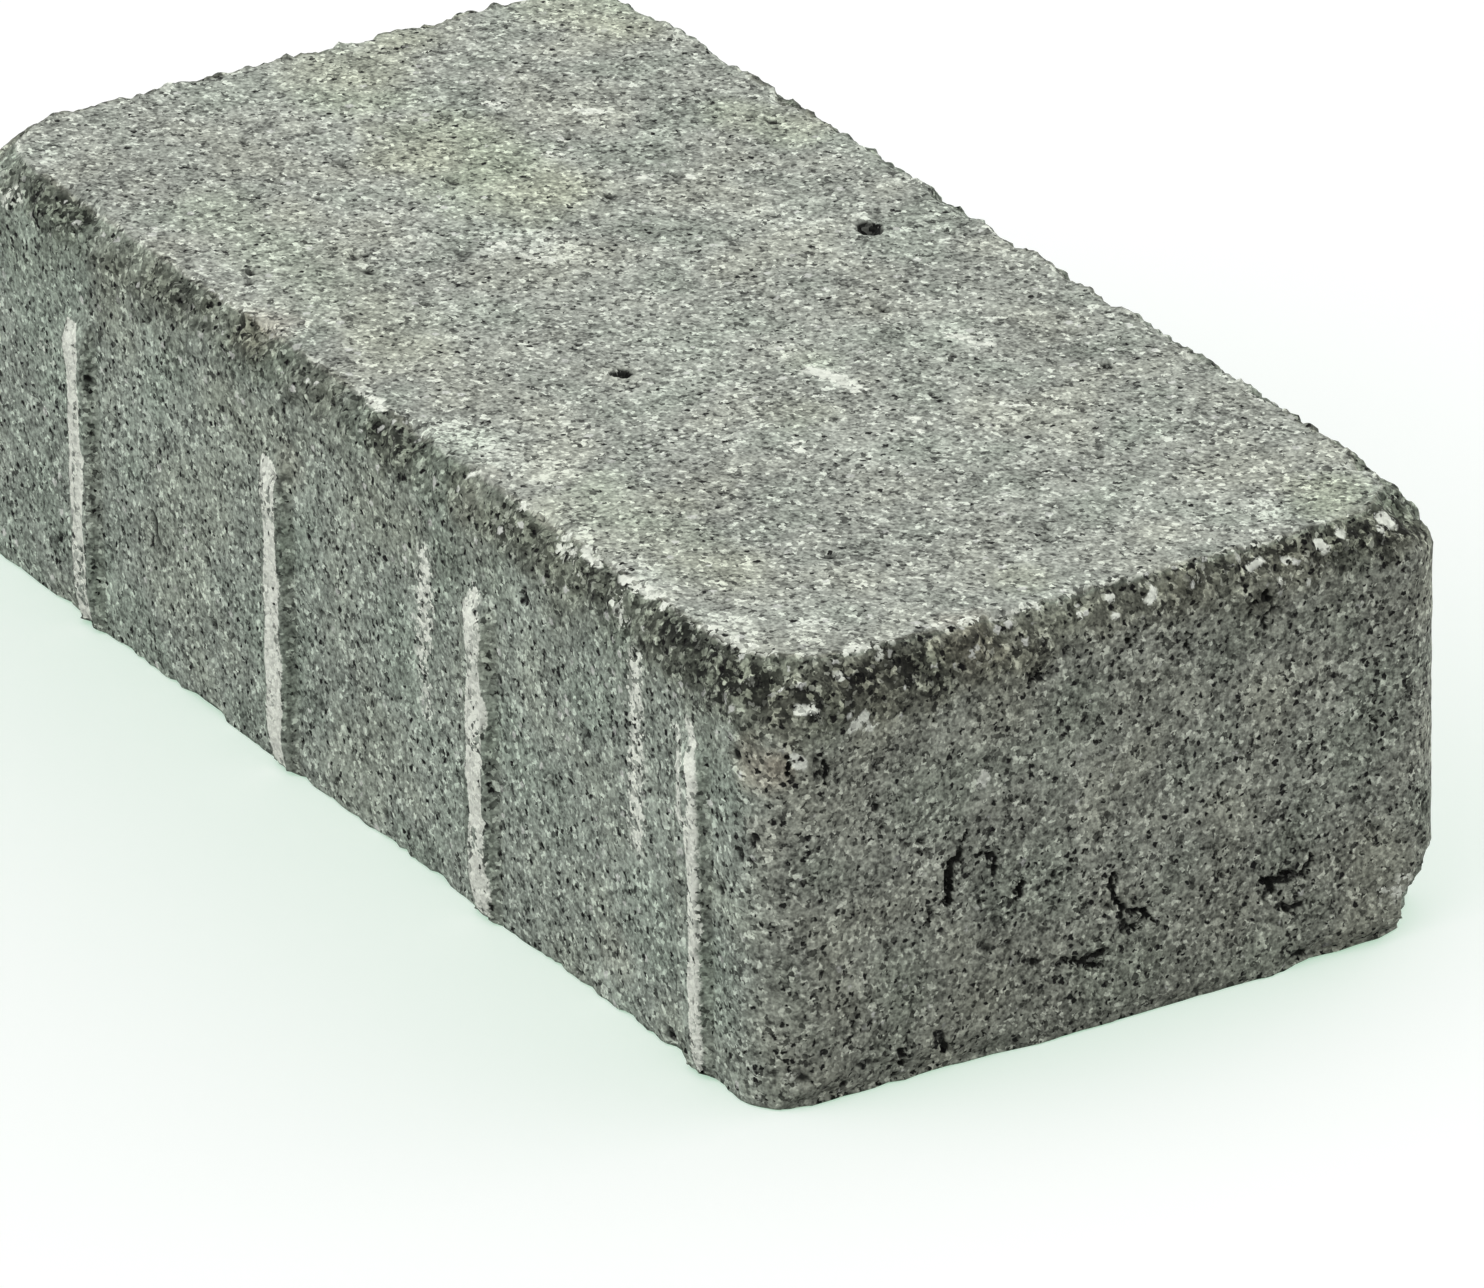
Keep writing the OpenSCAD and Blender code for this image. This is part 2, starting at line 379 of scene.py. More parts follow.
class StoneSizes(bpy.types.PropertyGroup):
    """Sizes of the stone's form and of the relief that pressing and handling left on it"""

    corner_r: FloatProperty(
        name="Corner radius", description="Radius of the four upright corners",
        default=8 * MM, unit="LENGTH")
    edge_r: FloatProperty(
        name="Easing radius", description="Radius of the arc that eases the edge round the wearing face",
        default=7.5 * MM, unit="LENGTH")
    edge_drop: FloatProperty(
        name="Easing drop", description="How far down the sides the easing reaches",
        default=6 * MM, unit="LENGTH")
    rib_proud: FloatProperty(
        name="Rib height", description="How far a rib stands proud of its side",
        default=1.8 * MM, unit="LENGTH")
    rib_foot_w: FloatProperty(
        name="Rib foot", description="Width of a rib where it meets the side",
        default=6.5 * MM, unit="LENGTH")
    rib_crest_w: FloatProperty(
        name="Rib crest", description="Width of the flat crest of a rib",
        default=4.5 * MM, unit="LENGTH")
    rib_pitch: FloatProperty(
        name="Rib pitch", description="Distance from the middle of one rib to the next",
        default=50 * MM, unit="LENGTH")
    rib_corner_gap: FloatProperty(
        name="Rib to corner", description="Distance from the rounded corner to the nearest rib",
        default=8 * MM, unit="LENGTH")
    rib_head_gap: FloatProperty(
        name="Rib head", description="Distance from the wearing face down to the head of a rib",
        default=13 * MM, unit="LENGTH")
    rib_runout: FloatProperty(
        name="Rib run-out", description="Length over which the head of a rib runs out into the side",
        default=4 * MM, unit="LENGTH")
    cell: FloatProperty(
        name="Mesh cell", description="Widest cell of the mesh on the plain faces",
        default=1.05 * MM, unit="LENGTH")
    fine_cell: FloatProperty(
        name="Fine mesh cell", description="Widest cell of the mesh at the edges and on the ribs' flanks",
        default=0.62 * MM, unit="LENGTH")
    wave: FloatProperty(
        name="Waviness", description="Height of the broad waves in the faces",
        default=0.22 * MM, unit="LENGTH")
    lump: FloatProperty(
        name="Lumps", description="Height of the lumps of a few millimetres in the faces",
        default=0.13 * MM, unit="LENGTH")
    crumble: FloatProperty(
        name="Crumble", description="Depth of the crumbly relief on the shoulder under the rim",
        default=0.75 * MM, unit="LENGTH")
    corner_wear: FloatProperty(
        name="Corner wear", description="How far wear has drawn in the corners of the rim",
        default=3.4 * MM, unit="LENGTH")
    corner_wear_reach: FloatProperty(
        name="Corner wear reach", description="How far from the corners of the rim that wear reaches",
        default=16 * MM, unit="LENGTH")
    rim_loss: FloatProperty(
        name="Rim loss", description="Depth of the bites that wear took out of the rim",
        default=1.2 * MM, unit="LENGTH")
    rib_wear: FloatProperty(
        name="Rib wear", description="Depth of the streaks that are scraped into the ribs",
        default=0.35 * MM, unit="LENGTH")
    foot_loss: FloatProperty(
        name="Foot loss", description="Depth of the crumbs lost along the bottom edge",
        default=0.8 * MM, unit="LENGTH")
    seed: IntProperty(
        name="Seed", description="Seed of the small pits and crumbs that are strewn by chance",
        default=7)


class ConcreteFinish(bpy.types.PropertyGroup):
    """Colours and grain of the concrete"""

    cement: FloatVectorProperty(
        name="Cement", description="Colour of the plain concrete",
        default=(0.36, 0.38, 0.335), size=3, subtype="COLOR")
    light_grain: FloatVectorProperty(
        name="Light grains", description="Colour of the light grains that lie open in the surface",
        default=(0.68, 0.70, 0.65), size=3, subtype="COLOR")
    worn: FloatVectorProperty(
        name="Worn concrete", description="Colour where the skin is scraped pale",
        default=(0.93, 0.97, 0.86), size=3, subtype="COLOR")
    buff: FloatVectorProperty(
        name="Buff tint", description="Tint of the buff stains",
        default=(1.09, 1.11, 0.99), size=3)
    brown: FloatVectorProperty(
        name="Brown tint", description="Tint of the brown stains",
        default=(1.06, 0.94, 0.89), size=3)
    damp: FloatVectorProperty(
        name="Damp tint", description="Tint of the dark stretches of the shoulder",
        default=(1.02, 1.00, 0.91), size=3)
    grain: FloatProperty(
        name="Grain size", description="Size of the sand grains",
        default=0.6 * MM, unit="LENGTH")
    grain_relief: FloatProperty(
        name="Grain relief", description="Height of the sand grains in the surface",
        default=0.26 * MM, unit="LENGTH")
    roughness: FloatProperty(
        name="Roughness", description="Roughness of the dry concrete",
        default=0.92, subtype="FACTOR")
    sheen: FloatProperty(
        name="Specular level", description="How much the dry concrete reflects",
        default=0.25, subtype="FACTOR")


class StudioStage(bpy.types.PropertyGroup):
    """Floor, light and camera"""

    azimuth: FloatProperty(
        name="Camera azimuth", description="Turn of the camera about Z, from -Y towards +X",
        default=math.radians(59.07), subtype="ANGLE")
    elevation: FloatProperty(
        name="Camera elevation", description="Height of the camera as an angle above the floor",
        default=math.radians(25.2), subtype="ANGLE")
    roll: FloatProperty(
        name="Camera roll", description="Turn of the camera about its own axis",
        default=math.radians(-0.918), subtype="ANGLE")
    distance: FloatProperty(
        name="Camera distance", description="Distance from the camera to the point of aim",
        default=1.682, unit="LENGTH")
    lens: FloatProperty(
        name="Lens", description="Focal length on a 36 mm sensor, in millimetres",
        default=332.8)
    aim: FloatVectorProperty(
        name="Point of aim", description="Place in the stone that the camera looks at",
        default=(35.84 * MM, -13.33 * MM, 28.5 * MM), size=3, subtype="XYZ", unit="LENGTH")
    overhead: FloatProperty(
        name="Overhead light", description="Strength of the soft light from straight above",
        default=0.4)
    side_light: FloatProperty(
        name="Side light", description="Strength of the soft light from beyond the two long sides",
        default=1.87)
    fill: FloatProperty(
        name="Fill light", description="Strength of the even light from all round",
        default=0.31)
    floor_glow: FloatVectorProperty(
        name="Floor glow", description="Light that the floor shows to the camera in the deepest shadow",
        default=(0.31, 0.54, 0.37), size=3, subtype="COLOR")
    floor_shade: FloatVectorProperty(
        name="Floor shade", description="Share of the floor's brightness that a shadow takes away",
        default=(0.75, 0.52, 0.69), size=3, subtype="COLOR")
    floor_bounce: FloatProperty(
        name="Floor bounce", description="Share of the light that the floor throws back at the stone",
        default=0.12, subtype="FACTOR")
    floor_reach: FloatProperty(
        name="Floor size", description="Half the width of the floor",
        default=4.0, unit="LENGTH")


def ramp(low, high, value):
    """Smooth step from 0 at low to 1 at high."""
    share = min(max((value - low) / (high - low), 0), 1)
    return share * share * (3 - 2 * share)


def rough(place, *layers):
    """Sum of noises at a place. A layer is the size of its lumps in mm and its weight."""
    return sum(weight * noise.noise(place / (size * MM)) for size, weight in layers)


class Form:
    """The stone's plain form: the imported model's block, eased edge and ribs, in metres."""

    def __init__(self, sizes):
        self.sizes = sizes
        self.length = BOX_HIGH.x - BOX_LOW.x
        self.width = BOX_HIGH.y - BOX_LOW.y - 2 * sizes.rib_proud
        self.height = BOX_HIGH.z - BOX_LOW.z
        self.edge_z = self.height - sizes.edge_drop
        self.core = Vector((self.length / 2 - sizes.corner_r, self.width / 2 - sizes.corner_r))
        rim_inset = self.inset(self.height)
        self.rim_corner = Vector((self.length / 2 - rim_inset, self.width / 2 - rim_inset))
        self.rib_h = self.height - sizes.rib_head_gap

    def rib_places(self):
        """Middles of the near row of ribs along X. The far row is the same one turned half round."""
        first = self.core.x - self.sizes.rib_corner_gap
        count = int(2 * first / self.sizes.rib_pitch + HAIR) + 1
        return [first - i * self.sizes.rib_pitch for i in range(count)]

    def on_rib(self, flat):
        """Climb of a place on the uncut box up a rib's flank and up its run-out.

        Each is 0 at the foot and 1 at the crest, and both are below 0 off the long sides.
        """
        if self.width / 2 - abs(flat.y) > HAIR:
            return -1.0, -1.0
        turn = -math.copysign(1, flat.y)
        gap = min(abs(flat.x - turn * place) for place in self.rib_places())
        foot, crest = self.sizes.rib_foot_w / 2, self.sizes.rib_crest_w / 2
        return (foot - gap) / (foot - crest), (self.rib_h - flat.z) / self.sizes.rib_runout

    def rib_height(self, flat):
        """How far the ribs push out a place on the uncut box."""
        return self.sizes.rib_proud * min(max(min(self.on_rib(flat)), 0), 1)

    def inset(self, z):
        """How far the eased edge has drawn in at a height."""
        climb = max(z - self.edge_z, 0)
        return self.sizes.edge_r - math.sqrt(self.sizes.edge_r ** 2 - climb ** 2)

    def eased(self, flat):
        """Place on the stone of a place on the uncut box."""
        u = max(abs(flat.x) - self.core.x, 0) / self.sizes.corner_r
        v = max(abs(flat.y) - self.core.y, 0) / self.sizes.corner_r
        place = flat.copy()
        if u or v:
            turn = math.pi / 4 * v / u if u >= v else math.pi / 2 - math.pi / 4 * u / v
            reach = max(u, v) * (self.sizes.corner_r - self.inset(flat.z))
            out_x = min(abs(flat.x), self.core.x) + reach * math.cos(turn)
            out_y = min(abs(flat.y), self.core.y) + reach * math.sin(turn) + self.rib_height(flat)
            place.x = math.copysign(out_x, flat.x)
            place.y = math.copysign(out_y, flat.y)
        drawn_in = self.corner_loss(place)
        place.x -= math.copysign(drawn_in, place.x)
        place.y -= math.copysign(drawn_in, place.y)
        return place

    def corner_loss(self, place):
        """How far wear has drawn a place in, along X and Y alike, near a corner of the rim."""
        gap = (Vector((abs(place.x), abs(place.y))) - self.rim_corner).length
        share = max(0, 1 - gap / self.sizes.corner_wear_reach)
        return self.sizes.corner_wear * share ** 2 * ramp(self.edge_z - MM, self.height, place.z)

    def rim_gap(self, flat):
        """How far a place on the uncut box's top or bed is from the nearest edge."""
        return min(self.length / 2 - abs(flat.x), self.width / 2 - abs(flat.y))

    def on_top(self, flat):
        """Whether a place on the uncut box is on its top."""
        return self.height - flat.z < HAIR

    def on_side(self, side, u, v):
        """Place on the uncut box of a mark given in mm on one of its sides."""
        u, v = u * MM, v * MM
        places = {
            "top": (u, v, self.height),
            "near": (u, -self.width / 2, v),
            "far": (u, self.width / 2, v),
            "end": (self.length / 2, u, v),
            "back": (-self.length / 2, u, v),
        }
        return Vector(places[side])


def grid_lines(marks):
    """Grid lines through every mark. A mark is a place and the widest cell between it and the next one."""
    marks = sorted(marks)
    lines = [marks[0][0]]
    for (low, cell), (high, _) in zip(marks, marks[1:]):
        cells = max(1, math.ceil((high - low) / cell - HAIR))
        lines += [low + (high - low) * i / cells for i in range(1, cells + 1)]
    return lines


def box_lines(form):
    """Grid lines of the uncut box along X, Y and Z."""
    cell, fine = form.sizes.cell, form.sizes.fine_cell
    half_l, half_w = form.length / 2, form.width / 2
    along = [(-half_l, fine), (-form.core.x, cell), (form.core.x, fine), (half_l, fine)]
    for place in form.rib_places():
        for middle in (place, -place):
            along += [
                (middle - form.sizes.rib_foot_w / 2, fine),
                (middle - form.sizes.rib_crest_w / 2, cell),
                (middle + form.sizes.rib_crest_w / 2, fine),
                (middle + form.sizes.rib_foot_w / 2, cell),
            ]
    across = [(-half_w, fine), (-form.core.y, cell), (form.core.y, fine), (half_w, fine)]
    upward = [
        (0, fine),
        (2 * fine, cell),
        (form.rib_h - form.sizes.rib_runout, cell),
        (form.rib_h, cell),
        (form.edge_z - 3 * fine, fine),
        (form.edge_z, fine * 3 / 4),
        (form.height, fine),
    ]
    return [grid_lines(along), grid_lines(across), grid_lines(upward)]


def cut_box(bm, lines):
    """A box whose faces are cut along grid lines, with every second line left out of the bed face."""
    bmesh.ops.create_cube(bm, size=1)
    for axis in range(3):
        along = [e for e in bm.edges if abs(e.verts[0].co[axis] - e.verts[1].co[axis]) > 0.5]
        bmesh.ops.subdivide_edges(bm, edges=along, cuts=len(lines[axis]) - 2, use_grid_fill=True)
    steps = {v: [round((v.co[a] + 0.5) * (len(lines[a]) - 1)) for a in range(3)] for v in bm.verts}

    def spare(edge):
        first, second = (steps[v] for v in edge.verts)
        if first[2] or second[2]:
            return False
        odd = [a for a in (0, 1) if first[a] == second[a] and first[a] % 2 == 1]
        return any(first[a] < len(lines[a]) - 2 for a in odd)

    spare_edges = [e for e in bm.edges if spare(e)]
    for vert, step in steps.items():
        vert.co = [lines[a][step[a]] for a in range(3)]
    bmesh.ops.dissolve_edges(bm, edges=spare_edges, use_verts=True)


def spaced(points, step):
    """Points along a line of points, no further than a step apart."""
    places = [Vector(points[0])]
    for first, second in zip(points, points[1:]):
        first, second = Vector(first), Vector(second)
        count = max(1, math.ceil((second - first).length / step))
        places += [first.lerp(second, i / count) for i in range(1, count + 1)]
    return places


def strewn_pits(form):
    """Small pits strewn by chance over every side but the bed face."""
    draw = random.Random(form.sizes.seed)
    half_l, half_w = form.length / 2 / MM, form.width / 2 / MM
    foot, shoulder, rim = 2, form.height / MM - 8, 6
    slant_u, slant_v = 1.2, 0.8
    fields = [
        ("near", half_l, foot, shoulder, 46),
        ("far", half_l, foot, shoulder, 70),
        ("end", half_w, foot, shoulder, 34),
        ("back", half_w, foot, shoulder, 60),
        ("top", half_l - rim, rim - half_w, half_w - rim, 24),
    ]
    pits = []
    for side, reach, low, high, count in fields:
        for _ in range(count):
            start = Vector((draw.uniform(-reach, reach), draw.uniform(low, high)))
            end = start + Vector((draw.uniform(-slant_u, slant_u), draw.uniform(-slant_v, slant_v)))
            half_width = draw.uniform(0.6, 1.1)
            depth = draw.uniform(0.25, 0.7)
            pits.append((side, [start, end], half_width, depth))
    return pits


def ragged_voids(form, side, voids):
    """The voids of a side as rows of small pits of uneven width, with crumbs lost beside them."""
    draw = random.Random(form.sizes.seed + 1)
    step, stray = 0.5, 0.3
    crumb_chance, crumb_u, crumb_v = 0.4, 2.8, 2.2
    pits = []
    for points, half_width, depth in voids:
        for spot in spaced(points, step):
            middle = spot + Vector((draw.uniform(-stray, stray), draw.uniform(-stray, stray)))
            pits.append((side, [middle], half_width * draw.uniform(0.4, 0.8), depth * draw.uniform(0.5, 1)))
            if draw.random() < crumb_chance:
                crumb = spot + Vector((draw.uniform(-crumb_u, crumb_u), draw.uniform(-crumb_v, crumb_v)))
                pits.append((side, [crumb], draw.uniform(0.4, 0.6), draw.uniform(0.4, 0.8)))
    return pits


def all_pits(form):
    """Every pit and void: the side that it is in, its points, half width and depth in mm."""
    pits = ragged_voids(form, "end", END_VOIDS) + ragged_voids(form, "top", TOP_PITS)
    pits += [("near", *pit) for pit in NEAR_PITS]
    return pits + strewn_pits(form)


def refine_marks(bm, form, marks, margin, cuts):
    """Cut the cells of the uncut box finer round the marks that are deep or small."""
    bm.verts.index_update()
    bm.edges.index_update()
    bm.faces.index_update()
    tree = kdtree.KDTree(len(bm.faces))
    bm.faces.ensure_lookup_table()
    for face in bm.faces:
        tree.insert(face.calc_center_median(), face.index)
    tree.balance()
    chosen = set()
    for side, points, half_width, _ in marks:
        for spot in spaced(points, half_width):
            for _, index, _ in tree.find_range(form.on_side(side, *spot), half_width * MM + margin):
                chosen.add(index)
    edges = {e for index in chosen for e in bm.faces[index].edges}
    edges = sorted(edges, key=lambda e: e.index)
    bmesh.ops.subdivide_edges(bm, edges=edges, cuts=cuts, use_grid_fill=True)


def refine_rim(bm, form, drop):
    """Cut the cells along the rim and the shoulder once across, so that crumbs show there."""
    fine = form.sizes.fine_cell
    low = form.height - drop
    half = (form.length / 2, form.width / 2)

    def along_rim(edge):
        first, second = (v.co for v in edge.verts)
        if abs(first.z - second.z) > HAIR or first.z < low:
            return False
        for axis in (0, 1):
            gap = half[axis] - abs(first[axis])
            same = abs(first[axis] - second[axis]) < HAIR
            if same and gap < 2 * fine + HAIR:
                return True
        return False

    edges = [e for e in bm.edges if along_rim(e)]
    bmesh.ops.subdivide_edges(bm, edges=edges, cuts=1)


class Skin:
    """The stone's surface while it is worked: where each vertex was on the box, and the masks on it."""

    MASKS = ("hollow", "worn", "crest", "shaded", "bloom", "buff", "brown", "open")

    def __init__(self, bm, form, flats):
        self.form = form
        self.flats = flats
        self.places = [v.co.copy() for v in bm.verts]
        self.normals = [v.normal.copy() for v in bm.verts]
        self.masks = {name: [0.0] * len(flats) for name in self.MASKS}
        self.tree = kdtree.KDTree(len(flats))
        for index, place in enumerate(self.places):
            self.tree.insert(place, index)
        self.tree.balance()

    def paint(self, name, mark):
        """Raise a mask round a mark, with a ragged edge, to the mark's strength."""
        side, points, half_width, strength = mark
        ragged, rag_size = RAGS[name]
        mask = self.masks[name]
        reach = half_width * MM
        for spot in spaced(points, half_width / 3):
            centre = self.form.eased(self.form.on_side(side, *spot))
            for place, index, gap in self.tree.find_range(centre, reach):
                share = gap / reach * (1 + rough(place, (rag_size, ragged)))
                mask[index] = max(mask[index], strength * max(0, 1 - share * share))

    def knock_off(self, chip):
        """Take a flake off an edge or a corner: push back what stands out past a rough, shallow face."""
        side, points, half_width, depth = chip
        reach = half_width * MM
        for spot in spaced(points, half_width / 2):
            centre = self.form.eased(self.form.on_side(side, *spot))
            found = self.tree.find_range(centre, reach)
            outward = sum((self.normals[index] for _, index, _ in found), Vector()).normalized()
            for place, index, gap in found:
                uneven = 1 + rough(place, (4, 0.4), (1.5, 0.25))
                level = -depth * MM * (1 - (gap / reach) ** 2) * uneven
                excess = (self.places[index] - centre).dot(outward) - level
                if excess > 0:
                    self.places[index] -= outward * excess


def paint_marks(skin):
    """Put every mark of the lists on the skin."""
    lists = {
        "hollow": all_pits(skin.form),
        "shaded": SHADED,
        "worn": WORN + PALE_GRAINS,
        "bloom": [("top", *mark) for mark in BLOOM],
        "buff": [("top", *mark) for mark in BUFF],
        "brown": BROWN,
    }
    for name, marks in lists.items():
        for mark in marks:
            skin.paint(name, mark)


def streaks(place):
    """Noise drawn out upwards, as the mould scrapes the ribs when the stone leaves it."""
    return noise.noise(Vector((place.x / (1.1 * MM), place.y / (4 * MM), place.z / (11 * MM))))


def strayed(flat, count, edge):
    """Where an edge of a rib's scraped band has strayed to at a place's height, in mm."""
    return edge + 0.8 * noise.noise(Vector((count + flat.y / MM, edge, flat.z / (6 * MM))))


def wear_crests(skin):
    """Mark how far inside its scraped band each place on a rib is, and paint shade on the flanks and just
    beside their feet.
    """
    form, crest, shaded = skin.form, skin.masks["crest"], skin.masks["shaded"]
    ribs = form.rib_places()
    lean, head_gap, foot_gap = 3, 1.5, 0.4
    # Where the painted shade beside a rib's foot starts, in widths of its flank, and how dark it is
    flank_shade_start, flank_shade = -0.8, 0.3
    for index, flat in enumerate(skin.flats):
        across, upward = form.on_rib(flat)
        if across < flank_shade_start or upward < 0:
            continue
        offsets = [math.copysign(flat.x, -flat.y * flat.x) - rib for rib in ribs]
        count = min(range(len(ribs)), key=lambda i: abs(offsets[i]))
        low, high = (strayed(flat, count, edge) for edge in RIB_BANDS[count])
        offset = offsets[count] / MM + lean * max(1 - upward, 0)
        ends = min((form.rib_h - flat.z) / MM - head_gap, flat.z / MM - foot_gap)
        inside = min(offset - low, high - offset, ends)
        crest[index] = min(max(0.5 + inside / 2, 0), 1)
        # Painted shade on the rib's flanks and just beside its foot
        flank = ramp(flank_shade_start, 0.2, across) * ramp(1.3, 0.8, across) * ramp(0, 0.5, upward)
        shaded[index] = max(shaded[index], flank_shade * flank)


def shade_shoulder(skin):
    """Darken the shoulder under the rim, partly as damp and partly as painted shade in its crumbly relief,
    more in some lengths than in others, and fade the darkening down the sides.
    """
    form, shaded = skin.form, skin.masks["shaded"]
    for index, place in enumerate(skin.places):
        if form.on_top(skin.flats[index]):
            continue
        uneven = rough(place, (8, 0.35), (2, 0.2))
        band = ramp(form.edge_z - 1.5 * MM, form.edge_z + 2 * MM, place.z) * (0.48 + uneven)
        fading = ramp(form.edge_z - 14 * MM, form.edge_z, place.z) * (0.2 + uneven)
        shaded[index] = max(shaded[index], band, fading)


def wear_rim(skin):
    """Scrape the rim of the wearing face pale here and there, and end the dark shoulder at it."""
    form, worn, shaded = skin.form, skin.masks["worn"], skin.masks["shaded"]
    near_corner = form.eased(form.on_side("end", -form.width / 2 / MM, form.height / MM))
    most_worn = 0.8
    for index, flat in enumerate(skin.flats):
        if not form.on_top(flat):
            continue
        place, gap = skin.places[index], form.rim_gap(flat)
        ragged = rough(place, (3, 1), (1.2, 0.6))
        shaded[index] *= 1 - ramp(0, MM, gap + 0.7 * MM * ragged)
        corner = ramp(40 * MM, 6 * MM, (place - near_corner).length)
        broken = rough(place, (9, 0.8)) + 0.4 * ragged + 0.4 * corner
        rim_width = (2.0 + 2.3 * corner) * MM
        rim = 1 - ramp(0.2 * rim_width, rim_width, gap)
        worn[index] = max(worn[index], min(max(broken, 0), most_worn) * rim)


def open_sides(skin):
    """Open up the texture of the sides, most of all on the ends and round the voids."""
    form, openness = skin.form, skin.masks["open"]
    for index, flat in enumerate(skin.flats):
        ends = ramp(form.core.x, form.length / 2, abs(skin.places[index].x))
        openness[index] = TOP_OPEN if form.on_top(flat) else SIDE_OPEN + (END_OPEN - SIDE_OPEN) * ends
    margin, opened = 4, 0.35
    for points, half_width, depth in END_VOIDS:
        skin.paint("open", ("end", points, half_width + margin, END_OPEN + opened * depth))


def shoulder_relief(form, flat, place):
    """Crumbly relief of the shoulder and the bites out of the rim, in metres."""
    sizes = form.sizes
    share = ramp(form.edge_z - 3 * MM, form.edge_z + 2 * MM, place.z)
    high = ramp(form.edge_z + MM, form.height - MM, place.z)
    if form.on_top(flat):
        share = 1 - ramp(0, 2 * MM, form.rim_gap(flat))
        high = share
    if not share:
        return 0.0
    grain = noise.voronoi(place / (2 * MM))[0][0]
    uneven = rough(place, (3.1, 0.7), (1.2, 0.56)) + 0.5 - 1.1 * grain
    plan = Vector((place.x, place.y, 0))
    bite = rough(plan, (40, 0.4), (9, 1), (3, 0.5)) + rough(place, (1.4, 0.3)) - 0.1
    return sizes.crumble * share * uneven - sizes.rim_loss * high * max(0, bite)


def relief(skin, index):
    """How far the skin moves out along its normal at a vertex, in metres."""
    form, sizes = skin.form, skin.form.sizes
    flat, place = skin.flats[index], skin.places[index]
    lost = MM * skin.masks["hollow"][index]
    lumps = sizes.lump * rough(place, (4, 1), (1.7, 0.7))
    if flat.z < HAIR and form.rim_gap(flat) > HAIR:
        return -abs(lumps) - lost
    out = sizes.wave * rough(place, (38, 1)) - lost
    out += 0.55 * lumps if form.on_top(flat) else lumps
    out += shoulder_relief(form, flat, place)
    scraped = sizes.rib_wear * max(0, 0.4 + streaks(place))
    crumbled = sizes.foot_loss * (1 - ramp(0, 6 * MM, flat.z))
    out -= form.rib_height(flat) / sizes.rib_proud * (scraped + crumbled)
    foot = 1 - ramp(0, 2.4 * MM, flat.z)
    if foot:
        crumbs = 0.35 + max(0, rough(place, (5, 1), (1.6, 0.5)))
        out -= sizes.foot_loss * foot * crumbs
    return out


def work_skin(bm, skin):
    """Move every vertex by its relief, and keep the bed face on the floor."""
    for vert in bm.verts:
        place = skin.places[vert.index] + skin.normals[vert.index] * relief(skin, vert.index)
        place.z = max(place.z, 0)
        vert.co = place


def lay_out_bake(bm, flats, form):
    """Lay the six sides of the uncut box out on one sheet, the map that the finish is baked to."""
    gap = 3 * MM
    long_w, deep, high = form.length, form.width, form.height
    low = Vector((-long_w / 2, -deep / 2, 0))
    sheet = 2 * deep + 2 * high + 5 * gap
    # Axes of the box that run along and up each side on the sheet, and the side's lowest corner there
    sides = {
        "top": (0, 1, Vector((gap, gap))),
        "bed": (0, 1, Vector((gap, deep + 2 * gap))),
        "near": (0, 2, Vector((gap, 2 * deep + 3 * gap))),
        "far": (0, 2, Vector((gap, 2 * deep + high + 4 * gap))),
        "end": (2, 1, Vector((long_w + 2 * gap, gap))),
        "back": (2, 1, Vector((long_w + 2 * gap, deep + 2 * gap))),
    }
    layer = bm.loops.layers.uv.new("OFBake")
    for face in bm.faces:
        corners = [flats[v.index] for v in face.verts]
        middle = sum(corners, Vector()) / len(corners)
        gaps = {
            "top": high - middle.z,
            "bed": middle.z,
            "near": deep / 2 + middle.y,
            "far": deep / 2 - middle.y,
            "end": long_w / 2 - middle.x,
            "back": long_w / 2 + middle.x,
        }
        along, up, corner = sides[min(gaps, key=gaps.get)]
        for loop in face.loops:
            spot = flats[loop.vert.index] - low
            loop[layer].uv = (Vector((spot[along], spot[up])) + corner) / sheet


def stone_mesh(sizes):
    """The stone as one closed mesh with its masks as attributes."""
    form = Form(sizes)
    voids = [("end", *void) for void in END_VOIDS]
    small_marks = [("top", *pit) for pit in TOP_PITS] + PALE_GRAINS
    bm = bmesh.new()
    cut_box(bm, box_lines(form))
    refine_rim(bm, form, drop=8 * MM)
    refine_marks(bm, form, voids, margin=0.5 * MM, cuts=2)
    refine_marks(bm, form, small_marks, margin=0.6 * MM, cuts=1)
    bm.verts.index_update()
    flats = [v.co.copy() for v in bm.verts]
    for vert in bm.verts:
        vert.co = form.eased(vert.co)
    lay_out_bake(bm, flats, form)
    bmesh.ops.recalc_face_normals(bm, faces=bm.faces[:])
    bm.normal_update()
    skin = Skin(bm, form, flats)
    for chip in CHIPS:
        skin.knock_off(chip)
    paint_marks(skin)
    wear_crests(skin)
    shade_shoulder(skin)
    wear_rim(skin)
    open_sides(skin)
    work_skin(bm, skin)
    bm.normal_update()
    for face in bm.faces:
        face.smooth = True
    mesh = bpy.data.meshes.new(PIECE)
    bm.to_mesh(mesh)
    bm.free()
    for name, values in skin.masks.items():
        attribute = mesh.attributes.new(name, "FLOAT", "POINT")
        attribute.data.foreach_set("value", values)
    return mesh


def rgba(colour, level=1.0):
    """A colour with its alpha, at a share of its brightness."""
    return (colour[0] * level, colour[1] * level, colour[2] * level, 1.0)


def bare_tree(owner):
    """Node tree of a new material or world, without the nodes that it starts with."""
    owner.use_nodes = True
    owner.node_tree.nodes.clear()
    return owner.node_tree


